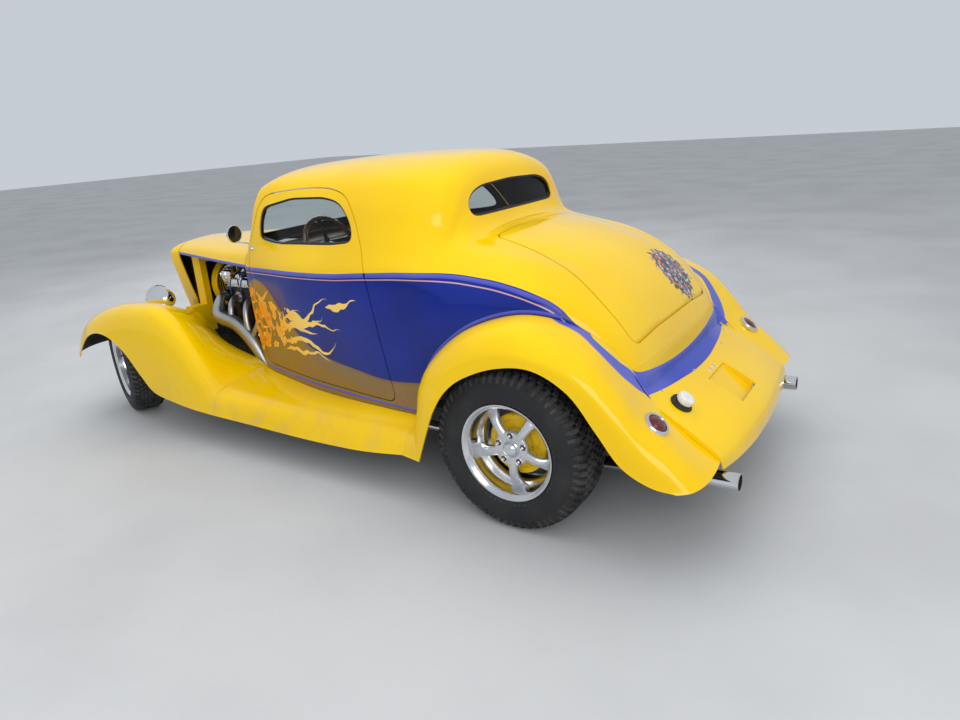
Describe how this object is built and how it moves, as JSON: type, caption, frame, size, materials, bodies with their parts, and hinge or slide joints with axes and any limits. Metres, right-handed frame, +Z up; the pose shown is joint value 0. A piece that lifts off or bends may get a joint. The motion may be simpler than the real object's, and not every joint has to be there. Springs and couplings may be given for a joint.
{
  "type": "hot rod",
  "caption": "Chopped full-fendered coupe hot rod with open engine bay, rear-hinged doors, split hood, deck lid, steered front wheels and spinning wheels.",
  "frame": {"origin": "on the ground under the middle of the car's length, on its centre line", "axes": "+X forward to the nose, +Y to the car's left, +Z up"},
  "size_m": [4.1111, 1.746, 1.488],
  "materials": {
    "yellow_paint": "gloss",
    "blue_paint": "gloss",
    "black_paint": "satin",
    "window_glass": "clear",
    "polished_alloy": "polished",
    "chrome": "mirror",
    "tyre_rubber": "matte",
    "iron": "painted satin",
    "black_plastic": "satin",
    "seat_leather": "satin",
    "red_lens": "gloss"
  },
  "bodies": {
    "car_body": {"body_shell": "yellow_paint", "dash": "black_plastic", "engine_block": "iron", "exhaust_left": "chrome", "exhaust_right": "chrome", "fan_shroud": "yellow_paint", "firewall": "yellow_paint", "floor_pan": "black_paint", "frame": "black_paint", "front_axle": "iron", "front_fender_left": "yellow_paint", "front_fender_right": "yellow_paint", "fuel_cap": "chrome", "grille_insert": "black_plastic", "grille_shell": "yellow_paint", "headlight_left": "chrome", "headlight_right": "chrome", "hood_hinge": "chrome", "intake": "polished_alloy", "radiator": "black_paint", "radiator_support": "yellow_paint", "rear_axle": "iron", "rear_fender_left": "yellow_paint", "rear_fender_right": "yellow_paint", "rear_glass": "window_glass", "rear_pan": "yellow_paint", "running_board_left": "yellow_paint", "running_board_right": "yellow_paint", "seat": "seat_leather", "steering_wheel": "seat_leather", "tail_light_left": "red_lens", "tail_light_right": "red_lens", "valve_cover_left": "chrome", "valve_cover_right": "chrome", "windshield_glass": "window_glass"},
    "door_left_body": {"door_left": "blue_paint", "door_glass_left": "window_glass", "mirror_left": "chrome"},
    "hood_left_body": {"hood_left": "yellow_paint"},
    "steering_left_body": {"knuckle_left": "iron"},
    "wheel_front_left_body": {"wheel_front_left": "polished_alloy", "tyre_front_left": "tyre_rubber", "brake_front_left": "yellow_paint"},
    "wheel_rear_left_body": {"wheel_rear_left": "polished_alloy", "tyre_rear_left": "tyre_rubber", "brake_rear_left": "yellow_paint"},
    "door_right_body": {"door_right": "blue_paint", "door_glass_right": "window_glass", "mirror_right": "chrome"},
    "hood_right_body": {"hood_right": "yellow_paint"},
    "steering_right_body": {"knuckle_right": "iron"},
    "wheel_front_right_body": {"wheel_front_right": "polished_alloy", "tyre_front_right": "tyre_rubber", "brake_front_right": "yellow_paint"},
    "wheel_rear_right_body": {"wheel_rear_right": "polished_alloy", "tyre_rear_right": "tyre_rubber", "brake_rear_right": "yellow_paint"},
    "deck_lid_body": {"deck_lid": "yellow_paint"}
  },
  "joints": [
    {"name": "door_left_hinge", "type": "hinge", "parent": "car_body", "child": "door_left_body", "pos_m": [-0.49652, 0.72372, 0.744], "axis": [0, 0, 1], "range_deg": [0, 65]},
    {"name": "door_right_hinge", "type": "hinge", "parent": "car_body", "child": "door_right_body", "pos_m": [-0.49652, -0.72372, 0.744], "axis": [0, 0, -1], "range_deg": [0, 65]},
    {"name": "hood_left_hinge", "type": "hinge", "parent": "car_body", "child": "hood_left_body", "pos_m": [0.61872, 0, 1.07141], "axis": [0.9989, 0, -0.0463], "range_deg": [0, 65]},
    {"name": "hood_right_hinge", "type": "hinge", "parent": "car_body", "child": "hood_right_body", "pos_m": [0.61872, 0, 1.07141], "axis": [-0.9989, 0, 0.0463], "range_deg": [0, 65]},
    {"name": "deck_lid_hinge", "type": "hinge", "parent": "car_body", "child": "deck_lid_body", "pos_m": [-0.919, 0, 1.15469], "axis": [0, 1, 0], "range_deg": [0, 50]},
    {"name": "steer_left", "type": "hinge", "parent": "car_body", "child": "steering_left_body", "pos_m": [1.64861, 0.553, 0.315], "axis": [0, 0, 1], "range_deg": [-2, 42]},
    {"name": "wheel_front_left_spin", "type": "hinge", "parent": "steering_left_body", "child": "wheel_front_left_body", "pos_m": [1.6811, 0.64227, 0.315], "axis": [0.342, 0.9397, 0], "continuous": true},
    {"name": "wheel_rear_left_spin", "type": "hinge", "parent": "car_body", "child": "wheel_rear_left_body", "pos_m": [-1.19639, 0.717, 0.348], "axis": [0, 1, 0], "continuous": true},
    {"name": "steer_right", "type": "hinge", "parent": "car_body", "child": "steering_right_body", "pos_m": [1.64861, -0.553, 0.315], "axis": [0, 0, 1], "range_deg": [-2, 42]},
    {"name": "wheel_front_right_spin", "type": "hinge", "parent": "steering_right_body", "child": "wheel_front_right_body", "pos_m": [1.61612, -0.64227, 0.315], "axis": [0.342, 0.9397, 0], "continuous": true},
    {"name": "wheel_rear_right_spin", "type": "hinge", "parent": "car_body", "child": "wheel_rear_right_body", "pos_m": [-1.19639, -0.717, 0.348], "axis": [0, 1, 0], "continuous": true}
  ],
  "couplings": [
    {"joint": "steer_right", "follows": "steer_left", "ratio": 1}
  ]
}
